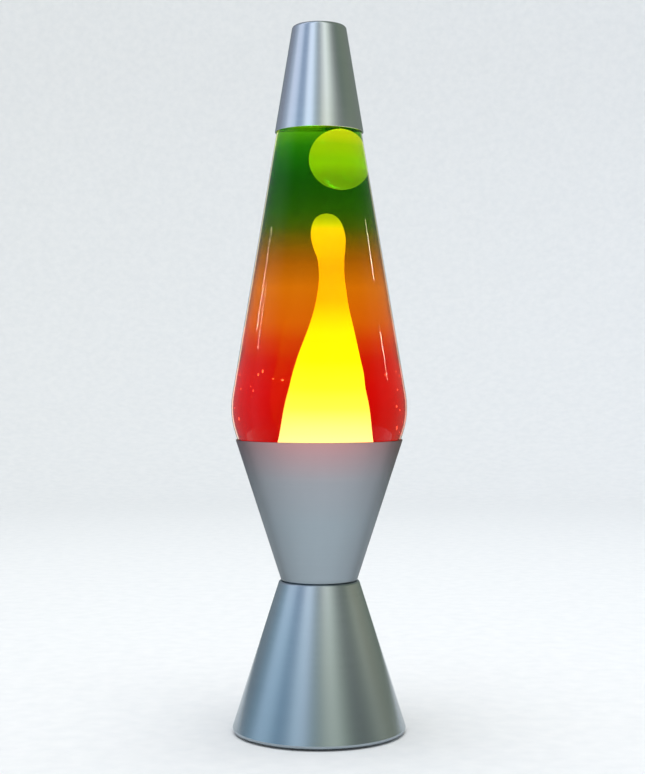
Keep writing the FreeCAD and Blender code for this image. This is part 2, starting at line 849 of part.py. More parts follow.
def make_bottle():
    """Glass bottle: punted floor, rounded heel, belly, long straight taper, neck and beaded mouth."""
    body = new_body("bottle")
    wall = size("glass_wall")
    shoulder = cap_edge + size("shoulder_rise")
    neck_foot, bead_foot = cap_edge + size("neck_rise"), cap_edge + size("finish_rise")
    neck, bead, mouth = size("neck_radius"), size("finish_radius"), size("mouth_radius")
    heel = (foot_radius, globe_foot)
    floor_edge = (globe_floor_radius, globe_floor)
    outer_belly = (belly_radius, belly)
    inner_belly = (belly_radius - glass_across, belly)
    outer_shoulder = (glass_side.radius(shoulder), shoulder)
    inner_shoulder = (glass_side.radius(shoulder - 1) - glass_across, shoulder - 1)
    outer_neck, inner_neck = (neck, neck_foot), (mouth, neck_foot)
    revolve(body, "glass", [
        (0, globe_foot + size("punt_rise")),
        (size("punt_radius"), globe_foot + size("punt_rise")),
        (punt_ring_radius, globe_foot),
        heel,
        outer_belly,
        outer_shoulder,
        outer_neck,
        (neck, bead_foot),
        (bead, bead_foot + 0.8),
        (bead, mouth_height),
        (mouth, mouth_height),
        inner_neck,
        inner_shoulder,
        inner_belly,
        floor_edge,
        (punt_ring_radius, globe_floor),
        (size("punt_radius"), globe_floor + size("punt_rise")),
        (0, globe_floor + size("punt_rise")),
    ])
    round_off(body, "belly_curve", size("belly_round"), [outer_belly])
    round_off(body, "belly_curve_inside", size("belly_round") - wall, [inner_belly])
    round_off(body, "heel_curve", size("heel_round"), [heel])
    round_off(body, "heel_curve_inside", size("heel_round") - wall, [floor_edge])
    round_off(body, "shoulder_curve", wall * 1.4, [outer_shoulder, outer_neck])
    round_off(body, "shoulder_curve_inside", wall, [inner_shoulder])
    round_off(body, "mouth_bead", wall * 0.3, [(bead, mouth_height), (mouth, mouth_height)])
    return body


def make_crown_cap():
    """Pressed crown closure over the bottle's mouth."""
    body = new_body("crown_cap")
    gauge = size("crown_sheet")
    under = mouth_height + size("liner_thickness")
    foot = cap_edge + size("finish_rise") + 0.6
    rim_radius, top_radius = size("crown_radius"), size("finish_radius") + 0.2
    revolve(body, "crown", [
        (0, under),
        (top_radius - gauge, under),
        (rim_radius - gauge * 1.2, foot),
        (rim_radius, foot),
        (top_radius, under + gauge),
        (0, under + gauge),
    ])
    round_off(body, "crown_round", gauge * 4, [(top_radius, under + gauge)])
    return body


def make_crown_liner():
    """Soft sealing disc between the crown and the glass."""
    body = new_body("crown_liner")
    wide = size("finish_radius") - 0.5
    high = mouth_height + size("liner_thickness")
    revolve(body, "liner", [(0, mouth_height), (wide, mouth_height), (wide, high), (0, high)])
    return body


def wax_sections(gap):
    """The wax column's round sections from the pool to the inside of its head, grown by a gap."""
    yield "pool", pool_top, pool_radius + gap, as_size(0)
    for section, *_ in WAX_SECTIONS:
        height, radius = pool_top + wax_span * size(f"wax_{section}_share"), size(f"wax_{section}_radius")
        yield section, height, radius + gap, size(f"wax_{section}_shift")
    yield "head", head_height, size("head_radius") * 0.8 + gap, size("head_shift")


def loft_wax(body, kind, gap):
    """Adds or cuts the rising wax column and its rounded head."""
    sketches = []
    for section, height, radius, shift in wax_sections(gap):
        sketch = new_sketch(body, f"{body.Name}_{section}", "XY_Plane", height)
        draw_circle(sketch, shift, 0, radius)
        sketches.append(sketch)
    column = body.newObject(f"PartDesign::{kind}Loft", f"{body.Name}_column")
    column.Profile = sketches[0]
    column.Sections = sketches[1:]
    document.recompute()
    add_ellipsoid(body, f"{kind}Ellipsoid", f"{body.Name}_head", size("head_shift"), head_height,
                  size("head_radius") + gap, head_crest + gap)


def add_ellipsoid(body, kind, name, shift, height, half_width, half_height):
    """A whole ellipsoid, added or cut, with its centre shifted along X."""
    egg = body.newObject(f"PartDesign::{kind}", name)
    bind(egg, "Radius1", half_height)
    bind(egg, "Radius2", half_width)
    bind(egg, "Radius3", half_width)
    egg.Angle1, egg.Angle2, egg.Angle3 = -90, 90, 360
    bind(egg, "Placement.Base.x", shift)
    bind(egg, "Placement.Base.z", height)
    document.recompute()
    return egg


def cut_ring(body, name, ring_radius, radius, height):
    """Cuts a ring-shaped hollow round the upright axis."""
    ring = body.newObject("PartDesign::SubtractiveTorus", name)
    bind(ring, "Radius1", ring_radius)
    bind(ring, "Radius2", radius)
    bind(ring, "Placement.Base.z", height)
    document.recompute()
    return ring


def make_wax_column():
    """The pool of wax on the floor and the column rising from it to a rounded head."""
    body = new_body("wax_column")
    gap = size("skin_gap")
    revolve(body, "pool", [
        (0, globe_floor + size("punt_rise") + gap),
        (size("punt_radius"), globe_floor + size("punt_rise") + gap),
        (punt_ring_radius, globe_floor + gap),
        (pool_radius, globe_floor + gap),
        (pool_radius, pool_top),
        (0, pool_top),
    ])
    loft_wax(body, "Additive", as_size(0))
    cut_ring(body, "coil_hollow", coil_ring_radius, size("coil_radius") + 0.6, coil_height)
    return body


def make_wax_blob():
    """Wax that has broken away and floats just under the liquid's surface."""
    body = new_body("wax_blob")
    add_ellipsoid(body, "AdditiveEllipsoid", "blob", blob_shift, blob_height,
                  size("blob_half_width"), blob_half_height)
    return body


def make_liquid():
    """The clear liquid: it fills the bottle round the wax up to its level in the shoulder."""
    body = new_body("liquid")
    gap = size("skin_gap")
    inner_belly = (belly_radius - glass_across - gap, belly)
    floor_edge = (globe_floor_radius - gap, globe_floor + gap)
    pool_side = pool_radius + gap
    revolve(body, "filling", [
        (pool_side, globe_floor + gap),
        floor_edge,
        inner_belly,
        (glass_side.radius(liquid_level) - glass_across - gap, liquid_level),
        (0, liquid_level),
        (0, pool_top),
        (pool_side, pool_top),
    ])
    round_off(body, "filling_belly", size("belly_round") - size("glass_wall"), [inner_belly])
    round_off(body, "filling_heel", size("heel_round") - size("glass_wall") * 0.85, [floor_edge])
    loft_wax(body, "Subtractive", gap)
    add_ellipsoid(body, "SubtractiveEllipsoid", "blob_hollow", blob_shift, blob_height,
                  size("blob_half_width") + gap, blob_half_height + gap)
    return body


def make_heating_coil():
    """Springy wire coil bent round into a ring, its ends meeting, sunk in the pool to spread the heat."""
    coil = document.addObject("Part::Feature", "heating_coil")
    coil.Label = "heating_coil"
    ring, small, wire = coil_ring_radius.value, size("coil_radius").value, size("coil_wire_radius").value
    turns, steps = 30, 8
    points = []
    for step in range(turns * steps - steps // 2):
        around = 2 * math.pi * step / (turns * steps)
        twist = around * turns
        reach = ring + small * math.cos(twist)
        points.append(FreeCAD.Vector(reach * math.cos(around), reach * math.sin(around), small * math.sin(twist)))
    path = Part.BSplineCurve()
    path.interpolate(points)
    spine = Part.Wire([path.toShape()])
    start, along = path.value(path.FirstParameter), path.tangent(path.FirstParameter)[0]
    section = Part.Wire([Part.Circle(start, along, wire).toShape()])
    coil.Shape = spine.makePipeShell([section], True, False)
    coil.Placement.Base = FreeCAD.Vector(0, 0, coil_height.value)
    return coil


def make_top_cap():
    """Spun cap, open below, that drops over the globe's neck."""
    body = new_body("top_cap")
    gauge = size("cap_sheet")
    wall = cap_side.across(gauge)
    top = size("lamp_height")
    outer_top = (size("cap_top_radius"), top)
    inner_top = (cap_side.radius(top - gauge) - wall, top - gauge)
    revolve(body, "cap_shell", [
        (size("cap_edge_radius") - wall, cap_edge),
        (size("cap_edge_radius"), cap_edge),
        outer_top,
        (0, top),
        (0, top - gauge),
        inner_top,
    ])
    round_off(body, "top_round", size("cap_round"), [outer_top])
    round_off(body, "top_round_inside", size("cap_round") - gauge, [inner_top])
    return body


def build_all():
    """Every sub-part of the lamp, in order from the floor up."""
    return [
        make_stand_cone(),
        make_base_plate(),
        make_rubber_feet(),
        make_cord_grommet(),
        make_cradle_cone(),
        make_lampholder_body(),
        make_lampholder_ring(),
        make_lampholder_washer(),
        make_lampholder_shell(),
        make_lampholder_tongue(),
        make_terminal("centre_terminal", -(ledge_radius - 2.9), -(terminal_screw_place + 1.9),
                      -(ledge_radius - 1.5), holder_floor_top),
        make_terminal("shell_terminal", ledge_radius + 0.5, terminal_screw_place + 1.9,
                      ledge_radius + 1.7, holder_ledge),
        make_terminal_screws(),
        make_lampholder_end_cap(),
        make_bulb_envelope(),
        make_bulb_screw_cap(),
        make_bulb_insulator(),
        make_bulb_tip(),
        make_bulb_stem(),
        make_bulb_lead_wires(),
        make_bulb_support_wire(),
        make_bulb_filament(),
        make_bottle(),
        make_crown_cap(),
        make_crown_liner(),
        make_wax_column(),
        make_wax_blob(),
        make_heating_coil(),
        make_liquid(),
        make_top_cap(),
    ]


def check_and_export(nodes):
    """Refuses to write anything unless every object and every shape is sound."""
    for item in document.Objects:
        if "Invalid" in item.State or "Error" in item.State:
            raise RuntimeError(f"{item.Name} did not compute")
    for node in nodes:
        if node.Shape.isNull() or not node.Shape.isValid() or not node.Shape.Solids:
            raise RuntimeError(f"{node.Label} has no valid solid")
    os.makedirs("parts", exist_ok=True)
    for node in nodes:
        node.Shape.exportStep(f"parts/{node.Label}.step")


lamp_nodes = build_all()
document.recompute()
check_and_export(lamp_nodes)
for lamp_node in lamp_nodes:
    box = lamp_node.Shape.BoundBox
    print(f"{lamp_node.Label}: {len(lamp_node.Shape.Solids)} solids, {lamp_node.Shape.Volume:.1f} mm3, "
          f"x {box.XMin:.2f} {box.XMax:.2f}, y {box.YMin:.2f} {box.YMax:.2f}, z {box.ZMin:.2f} {box.ZMax:.2f}")
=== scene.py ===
import math
import random

import bmesh
import bpy
from mathutils import Matrix, Vector, noise


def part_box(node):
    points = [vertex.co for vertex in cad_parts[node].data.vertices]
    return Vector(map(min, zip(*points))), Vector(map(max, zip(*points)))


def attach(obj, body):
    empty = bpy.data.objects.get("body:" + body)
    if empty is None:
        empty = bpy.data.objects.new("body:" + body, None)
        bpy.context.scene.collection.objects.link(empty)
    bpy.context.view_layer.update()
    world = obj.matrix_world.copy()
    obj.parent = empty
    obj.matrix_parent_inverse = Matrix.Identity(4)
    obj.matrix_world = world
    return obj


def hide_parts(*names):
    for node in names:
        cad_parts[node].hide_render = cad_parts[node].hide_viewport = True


# The looks of a table-top lava lamp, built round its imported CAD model. Metres, +Z up.

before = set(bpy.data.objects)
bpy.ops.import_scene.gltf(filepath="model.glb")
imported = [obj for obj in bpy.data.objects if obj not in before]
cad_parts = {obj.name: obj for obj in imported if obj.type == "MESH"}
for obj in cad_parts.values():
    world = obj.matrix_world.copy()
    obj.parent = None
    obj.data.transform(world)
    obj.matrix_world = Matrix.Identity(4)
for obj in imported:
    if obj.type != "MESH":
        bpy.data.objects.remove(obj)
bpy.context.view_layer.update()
MM = 0.001

# ---------------------------------------------------------------- sizes, read from the CAD model


def crossings(node, height):
    """How far from the upright axis a node's surface lies at a height, every crossing of its edges."""
    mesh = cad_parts[node].data
    found = []
    for edge in mesh.edges:
        low, high = (mesh.vertices[index].co for index in edge.vertices)
        if (low.z - height) * (high.z - height) < 0:
            point = low.lerp(high, (height - low.z) / (high.z - low.z))
            found.append(math.hypot(point.x, point.y))
    return found


def radius_at(node, height):
    return max(crossings(node, height))


class Side:
    """The straight outer side of a cone, taken from two heights on a CAD node."""

    def __init__(self, node, low, high):
        self.low = low
        self.radius_low = radius_at(node, low)
        self.slope = (radius_at(node, high) - self.radius_low) / (high - low)

    def radius(self, height):
        return self.radius_low + self.slope * (height - self.low)

    def across(self, thickness):
        return thickness * math.hypot(1, self.slope)


stand_low, stand_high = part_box("stand_cone")
_, cradle_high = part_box("cradle_cone")
cap_low, cap_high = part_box("top_cap")
bottle_low, bottle_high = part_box("bottle")
_, liquid_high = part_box("liquid")
crown_low, crown_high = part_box("crown_cap")
blob_low, blob_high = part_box("wax_blob")
_, wax_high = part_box("wax_column")
_, holder_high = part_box("lampholder_body")
filament_low, filament_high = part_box("bulb_filament")

foot_z, waist_z, rim_z, edge_z, top_z = stand_low.z, stand_high.z, cradle_high.z, cap_low.z, cap_high.z
level_z = liquid_high.z
stand_side = Side("stand_cone", foot_z + 20 * MM, foot_z + 60 * MM)
cradle_side = Side("cradle_cone", waist_z + 15 * MM, waist_z + 60 * MM)
cap_side = Side("top_cap", edge_z + 10 * MM, edge_z + 40 * MM)
flank = Side("bottle", 200 * MM, 290 * MM)
taper = Side("bottle", 132 * MM, 146 * MM)
hole_radius = radius_at("lampholder_body", holder_high.z - 1 * MM) + 0.2 * MM

STAND_SHEET = 0.8 * MM
CRADLE_SHEET = 0.6 * MM
CAP_SHEET = 0.7 * MM
GLASS_WALL = 2.8 * MM
GLASS_FLOOR = 3.0 * MM
LIP_WIDTH = 7.0 * MM

# ---------------------------------------------------------------- mesh helpers


def soften(corners):
    """An outline of (radius, height, rounding) corners with each rounding drawn as a short arc."""
    points = []
    for index, (across, up, rounding) in enumerate(corners):
        corner = Vector((across, up))
        if not rounding:
            points.append(corner)
            continue
        back = (Vector(corners[index - 1][:2]) - corner).normalized()
        ahead = (Vector(corners[(index + 1) % len(corners)][:2]) - corner).normalized()
        half = back.angle(ahead) / 2
        reach = rounding / math.tan(half)
        centre = corner + (back + ahead).normalized() * (rounding / math.sin(half))
        start, end = corner + back * reach - centre, corner + ahead * reach - centre
        steps = max(4, int(math.degrees(math.pi - 2 * half) / 4))
        for step in range(steps + 1):
            share = step / steps
            swept = start.angle(end)
            point = (start * math.sin((1 - share) * swept) + end * math.sin(share * swept)) / math.sin(swept)
            points.append(centre + point)
    return points


def new_piece(name, points, faces, body, replaced=()):
    """A mesh piece that rides on a body and stands for CAD nodes."""
    mesh = bpy.data.meshes.new(name)
    mesh.from_pydata(points, [], faces)
    mesh.validate()
    piece = bpy.data.objects.new(name, mesh)
    bpy.context.scene.collection.objects.link(piece)
    for polygon in mesh.polygons:
        polygon.use_smooth = True
    mesh.set_sharp_from_angle(angle=math.radians(40))
    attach(piece, body)
    if replaced:
        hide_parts(*replaced)
    return piece


def turned_ring(across, up, steps):
    """A ring of points about the upright axis, or the one point where it closes on the axis."""
    if across < 1e-7:
        return [(0, 0, up)]
    turns = [2 * math.pi * step / steps for step in range(steps)]
    return [(across * math.cos(turn), across * math.sin(turn), up) for turn in turns]


def ring_mesh(rings, closed):
    """Points and faces that join rings of equal count; a ring of one point closes to a pole."""
    points, starts = [], []
    for ring in rings:
        starts.append(len(points))
        points.extend(ring)
    faces = []
    pairs = list(zip(range(len(rings)), range(1, len(rings))))
    if closed:
        pairs.append((len(rings) - 1, 0))
    for low, high in pairs:
        count = max(len(rings[low]), len(rings[high]))
        if len(rings[low]) == 1 and len(rings[high]) == 1:
            continue
        for step in range(count):
            after = (step + 1) % count
            corner = [starts[low] + step, starts[low] + after, starts[high] + after, starts[high] + step]
            if len(rings[low]) == 1:
                corner = [starts[low], starts[high] + after, starts[high] + step]
            elif len(rings[high]) == 1:
                corner = [starts[low] + step, starts[low] + after, starts[high]]
            faces.append(corner)
    return points, faces


def lathe(name, outline, body, replaced=(), steps=192):
    """Turns an anticlockwise outline of radius and height points about the upright axis."""
    rings = [turned_ring(across, up, steps) for across, up in outline]
    points, faces = ring_mesh(rings, closed=True)
    return new_piece(name, points, faces, body, replaced)


# ---------------------------------------------------------------- material helpers


def fill_ramp(elements, stops):
    """Gives a colour ramp its stops of (place, colour), in linear light."""
    while len(elements) < len(stops):
        elements.new(0.5)
    for element, (position, colour) in zip(elements, stops):
        element.position = position
        element.color = (*colour, 1)


class Shader:
    """A new node material with its Principled shader, and short calls that add and join nodes."""

    def __init__(self, name, **settings):
        self.material = bpy.data.materials.new(name)
        self.material.use_nodes = True
        self.tree = self.material.node_tree
        self.surface = self.tree.nodes["Principled BSDF"]
        for socket, value in settings.items():
            self.surface.inputs[socket.replace("_", " ")].default_value = value

    def add(self, kind, settings=None, **inputs):
        node = self.tree.nodes.new(kind)
        for name, value in (settings or {}).items():
            setattr(node, name, value)
        for name, value in inputs.items():
            socket = node.inputs[int(name[1:])] if name[0] == "_" else node.inputs[name.replace("_", " ")]
            if isinstance(value, bpy.types.NodeSocket):
                self.tree.links.new(value, socket)
            else:
                socket.default_value = value
        return node

    def join(self, output, socket):
        self.tree.links.new(output, self.surface.inputs[socket])

    def place(self, scale=(1, 1, 1)):
        """Object coordinates stretched by a scale."""
        coordinates = self.add("ShaderNodeTexCoord")
        mapping = self.add("ShaderNodeMapping", Vector=coordinates.outputs["Object"], Scale=scale)
        return mapping.outputs["Vector"]

    def height(self, low, high):
        """0 at the low height and 1 at the high one."""
        coordinates = self.add("ShaderNodeTexCoord")
        split = self.add("ShaderNodeSeparateXYZ", Vector=coordinates.outputs["Object"])
        spread = self.add("ShaderNodeMapRange", From_Min=low, From_Max=high)
        self.tree.links.new(split.outputs["Z"], spread.inputs["Value"])
        return spread.outputs["Result"]

    def ramp(self, factor, stops):
        """A colour ramp with linear-light stops of (place, colour)."""
        node = self.add("ShaderNodeValToRGB")
        self.tree.links.new(factor, node.inputs["Fac"])
        fill_ramp(node.color_ramp.elements, stops)
        return node.outputs["Color"]

    def noise(self, scale, detail=2, stretch=(1, 1, 1), rough=0.5):
        place = self.place(stretch)
        node = self.add("ShaderNodeTexNoise", Vector=place, Scale=scale, Detail=detail, Roughness=rough)
        return node.outputs["Fac"]

    def spread(self, factor, low, high):
        """Turns a 0 to 1 factor into low to high."""
        node = self.add("ShaderNodeMapRange", To_Min=low, To_Max=high)
        self.tree.links.new(factor, node.inputs["Value"])
        return node.outputs["Result"]

    def multiply(self, first, second):
        """One colour darkened by another."""
        node = self.add("ShaderNodeMix", {"data_type": "RGBA", "blend_type": "MULTIPLY"})
        node.inputs["Factor"].default_value = 1
        self.tree.links.new(first, node.inputs[6])
        self.tree.links.new(second, node.inputs[7])
        return node.outputs[2]

    def base_colour(self):
        return self.surface.inputs["Base Color"].links[0].from_socket

    def bump(self, height, strength, distance):
        node = self.add("ShaderNodeBump", Height=height, Strength=strength, Distance=distance)
        self.join(node.outputs["Normal"], "Normal")


def paint(target, *materials):
    """Gives a piece, or a CAD node by name, its materials."""
    data = (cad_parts[target] if isinstance(target, str) else target).data
    data.materials.clear()
    for material in materials:
        data.materials.append(material)


def spun_metal(name, colour, rough, brushing, streak=0.03):
    """Aluminium with fine rings left by spinning, stretched reflections and faint handling marks."""
    shader = Shader(name, Metallic=1.0, Anisotropic=0.75)
    rings = shader.noise(900, 3, (0.02, 0.02, 2.4), 0.65)
    marks = shader.noise(45, 4, (1, 1, 0.35), 0.6)
    tint = shader.ramp(rings, [
        (0.3, [channel * (1 - streak) for channel in colour]),
        (0.7, [min(1, channel * (1 + streak)) for channel in colour]),
    ])
    shader.join(tint, "Base Color")
    both = shader.add("ShaderNodeMath", {"operation": "MULTIPLY"}, _0=rings, _1=marks).outputs[0]
    shader.join(shader.spread(both, rough * 0.85, rough * 1.3), "Roughness")
    tangent = shader.add("ShaderNodeTangent", {"direction_type": "RADIAL", "axis": "Z"})
    shader.join(tangent.outputs["Tangent"], "Tangent")
    shader.bump(rings, brushing, 0.02 * MM)
    return shader


def moulded(name, colour, rough, grain=600, bump=0.12):
    """Moulded plastic, rubber or fibre with a fine grain."""
    shader = Shader(name)
    speckle = shader.noise(grain, 3)
    dark, light = [channel * 0.8 for channel in colour], [channel * 1.2 for channel in colour]
    shader.join(shader.ramp(speckle, [(0.3, dark), (0.7, light)]), "Base Color")
    shader.join(shader.spread(speckle, rough * 0.8, rough * 1.2), "Roughness")
    shader.bump(speckle, bump, 0.05 * MM)
    return shader.material


def small_metal(name, colour, rough):
    """Pressed or plated metal with soft tarnish."""
    shader = Shader(name, Metallic=1.0)
    tarnish = shader.noise(220, 4)
    shader.join(shader.ramp(tarnish, [(0.35, [c * 0.7 for c in colour]), (0.65, colour)]), "Base Color")
    shader.join(shader.spread(tarnish, rough * 0.7, rough * 1.5), "Roughness")
    return shader.material


# ---------------------------------------------------------------- metal shells


def make_stand():
    """Lower cone: rolled foot, long cone and rolled shoulder."""
    wall = stand_side.across(STAND_SHEET)
    over_lip, under_flange = foot_z + STAND_SHEET, waist_z - STAND_SHEET
    lip = stand_side.radius(foot_z) - LIP_WIDTH
    outline = soften([
        (lip, foot_z, 0),
        (stand_side.radius(foot_z), foot_z, 1.6 * MM),
        (stand_side.radius(waist_z), waist_z, 1.3 * MM),
        (hole_radius, waist_z, 0),
        (hole_radius, under_flange, 0),
        (stand_side.radius(under_flange) - wall, under_flange, 0.5 * MM),
        (stand_side.radius(over_lip) - wall, over_lip, 0.8 * MM),
        (lip, over_lip, 0),
    ])
    piece = lathe("spun_stand", outline, "base", ["stand_cone"])
    metal = spun_metal("spun_stand_metal", (0.54, 0.58, 0.61), 0.24, 0.05, 0.02)
    # The lower cone's colour is made darker towards the foot, by height.
    darker_towards_foot = metal.ramp(metal.height(foot_z, waist_z), [
        (0.0, (0.68, 0.73, 0.76)),
        (0.3, (0.75, 0.79, 0.82)),
        (0.85, (0.95, 0.97, 0.98)),
        (1.0, (1, 1, 1)),
    ])
    metal.join(metal.multiply(metal.base_colour(), darker_towards_foot), "Base Color")
    paint(piece, metal.material)


def make_cradle():
    """Upper cone, satin finished, with painted shade where its surface turns away, and the globe's red light
    near its rim painted on as a red tint and a faint painted glow.
    """
    wall = cradle_side.across(CRADLE_SHEET)
    over_flange = waist_z + CRADLE_SHEET
    rim_radius = cradle_side.radius(rim_z)
    outline = soften([
        (hole_radius, waist_z, 0),
        (cradle_side.radius(waist_z), waist_z, 1.0 * MM),
        (rim_radius, rim_z, 0.22 * MM),
        (rim_radius - wall, rim_z, 0.22 * MM),
        (cradle_side.radius(over_flange) - wall, over_flange, 0.4 * MM),
        (hole_radius, over_flange, 0),
    ])
    piece = lathe("spun_cradle", outline, "base", ["cradle_cone"])
    metal = spun_metal("spun_cradle_metal", (0.375, 0.437, 0.482), 0.42, 0.05, 0.015)
    facing = metal.add("ShaderNodeLayerWeight", Blend=0.5).outputs["Facing"]
    # Painted shade: the colour darkens where the surface turns away.
    shade = metal.ramp(facing, [
        (0.0, (1, 1, 1)),
        (0.4, (0.7, 0.7, 0.7)),
        (0.57, (0.51, 0.51, 0.51)),
        (1.0, (0.4, 0.4, 0.4)),
    ])
    rim_place = metal.height(rim_z - 42 * MM, rim_z)
    # Painted light: a red tint towards the rim stands for the globe's red light falling on the metal.
    painted_rim_redness = metal.ramp(rim_place, [(0.0, (1, 1, 1)), (0.55, (1, 0.93, 0.92)), (1.0, (1, 0.68, 0.66))])
    metal.join(metal.multiply(metal.multiply(metal.base_colour(), shade), painted_rim_redness), "Base Color")
    # Painted glow near the rim, strongest where the surface faces straight on.
    glow = metal.ramp(rim_place, [
        (0.0, (0, 0, 0)),
        (0.5, (0.02, 0.003, 0.002)),
        (0.85, (0.16, 0.02, 0.012)),
        (1.0, (0.25, 0.035, 0.02)),
    ])
    painted_glow_falloff = metal.ramp(facing, [
        (0.0, (1, 1, 1)),
        (0.13, (0.72, 0.72, 0.72)),
        (0.29, (0.4, 0.4, 0.4)),
        (0.56, (0.12, 0.12, 0.12)),
        (1.0, (0, 0, 0)),
    ])
    metal.join(metal.multiply(glow, painted_glow_falloff), "Emission Color")
    metal.surface.inputs["Emission Strength"].default_value = 1.0
    paint(piece, metal.material)


def make_cap():
    """Spun cap with a small rounded crown."""
    wall = cap_side.across(CAP_SHEET)
    under = top_z - CAP_SHEET
    outline = soften([
        (cap_side.radius(edge_z) - wall, edge_z, 0.2 * MM),
        (cap_side.radius(edge_z), edge_z, 0.2 * MM),
        (cap_side.radius(top_z), top_z, 2.0 * MM),
        (0, top_z, 0),
        (0, under, 0),
        (cap_side.radius(under) - wall, under, 1.3 * MM),
    ])
    piece = lathe("spun_cap", outline, "cap", ["top_cap"])
    metal = spun_metal("spun_cap_metal", (0.74, 0.77, 0.8), 0.18, 0.05, 0.02)
    paint(piece, metal.material)


# ---------------------------------------------------------------- glass, liquid and wax

# The lacquer's colour, in linear light, at heights up the globe in millimetres.
LACQUER = [
    (150, (0.70, 0.0035, 0.001)),
    (177, (0.86, 0.003, 0.001)),
    (192, (0.82, 0.011, 0.001)),
    (202, (0.84, 0.053, 0.001)),
    (212, (0.88, 0.14, 0.001)),
    (230, (0.84, 0.19, 0.001)),
    (244, (0.48, 0.13, 0.001)),
    (253, (0.25, 0.125, 0.001)),
    (262, (0.068, 0.125, 0.001)),
    (270, (0.027, 0.12, 0.001)),
    (279, (0.014, 0.105, 0.001)),
    (287, (0.008, 0.105, 0.001)),
    (296, (0.008, 0.145, 0.001)),
    (304, (0.018, 0.22, 0.001)),
    (313, (0.10, 0.42, 0.003)),
]

# The wax's painted glow, standing in for the bulb's light that it scatters, at heights up the globe in
# millimetres.
GLOW = [
    (126, (0.8, 0.5, 0.03)),
    (147, (1.2, 1.5, 0.10)),
    (151, (3.0, 21.0, 14.0)),
    (161, (2.6, 21.0, 8.5)),
    (169, (2.3, 20.0, 2.6)),
    (178, (2.1, 18.0, 0.75)),
    (192, (1.8, 8.8, 0.08)),
    (202, (1.4, 3.9, 0.05)),
    (211, (1.2, 2.2, 0.05)),
    (223, (1.1, 1.15, 0.05)),
    (232, (1.2, 1.0, 0.05)),
    (240, (1.5, 1.05, 0.06)),
    (249, (2.0, 1.4, 0.06)),
    (257, (3.0, 1.7, 0.07)),
    (262, (2.9, 2.0, 0.06)),
    (266, (1.8, 1.4, 0.06)),
]

# The floating blob's painted glow, dimmer underneath.
BLOB_GLOW = [
    (280, (1.0, 0.75, 0.08)),
    (285, (1.25, 0.7, 0.05)),
    (294, (2.8, 1.40, 0.03)),
    (302, (2.6, 1.15, 0.04)),
    (311, (1.8, 0.95, 0.08)),
    (314, (2.2, 1.20, 0.10)),
]
BRIGHTEST = 21.0


def height_ramp(shader, stops, scale=1.0):
    """A colour ramp along the height, from stops given in millimetres."""
    low, high = stops[0][0], stops[-1][0]
    factor = shader.height(low * MM, high * MM)
    return shader.ramp(factor, [
        ((height - low) / (high - low), [channel * scale for channel in colour])
        for height, colour in stops
    ])


def lacquered_glass():
    """The globe's outer skin: clear glass under a graded transparent lacquer."""
    shader = Shader("lacquered_glass", Transmission_Weight=1.0, IOR=1.5, Specular_Tint=(0.03, 0.03, 0.03, 1))
    shader.join(height_ramp(shader, LACQUER), "Base Color")
    cloud = shader.noise(30, 3, (1, 1, 0.4))
    shader.join(shader.spread(cloud, 0.0, 0.035), "Roughness")
    return shader.material


def clear_glass(name, ior, seeds=0.01):
    """Clear glass, or the meeting of glass and liquid, told apart by refraction."""
    shader = Shader(name, Transmission_Weight=1.0, IOR=ior)
    waviness = shader.noise(25, 2)
    shader.join(shader.spread(waviness, 0.0, seeds), "Roughness")
    shader.join(shader.ramp(waviness, [(0.3, (0.97, 0.985, 0.98)), (0.7, (0.99, 0.995, 0.99))]), "Base Color")
    return shader.material


def unseen_side():
    """The liquid's side, which lies against the glass and shows no edge of its own."""
    shader = Shader("liquid_side", Alpha=0.0)
    shader.join(shader.ramp(shader.noise(20), [(0, (1, 1, 1)), (1, (0.98, 0.98, 0.98))]), "Base Color")
    return shader.material


def glowing_wax(name, glow):
    """Molten wax, with the bulb's light from below painted on as a glow by height."""
    shader = Shader(name, Roughness=0.28, Coat_Weight=0.15)
    swirl = shader.noise(60, 3, (1, 1, 0.5))
    shader.join(shader.ramp(swirl, [(0.3, (0.75, 0.55, 0.02)), (0.7, (0.85, 0.68, 0.04))]), "Base Color")
    shader.join(height_ramp(shader, glow, 1 / BRIGHTEST), "Emission Color")
    shader.surface.inputs["Emission Strength"].default_value = BRIGHTEST
    return shader.material


belly_z = 166.0 * MM
foot_glass_z = bottle_low.z
floor_z = foot_glass_z + GLASS_FLOOR
mouth_z = bottle_high.z
flank_wall = flank.across(GLASS_WALL)
taper_wall = taper.across(GLASS_WALL)
BELLY_ROUND = 42.0 * MM
HEEL_ROUND = 7.0 * MM
PUNT_RISE = 4.0 * MM
PUNT_RADIUS = 8.0 * MM
punt_ring = taper.radius(foot_glass_z) - HEEL_ROUND * 0.95


# The globe's materials, in their order on the piece.
LACQUERED, WET, DRY = range(3)


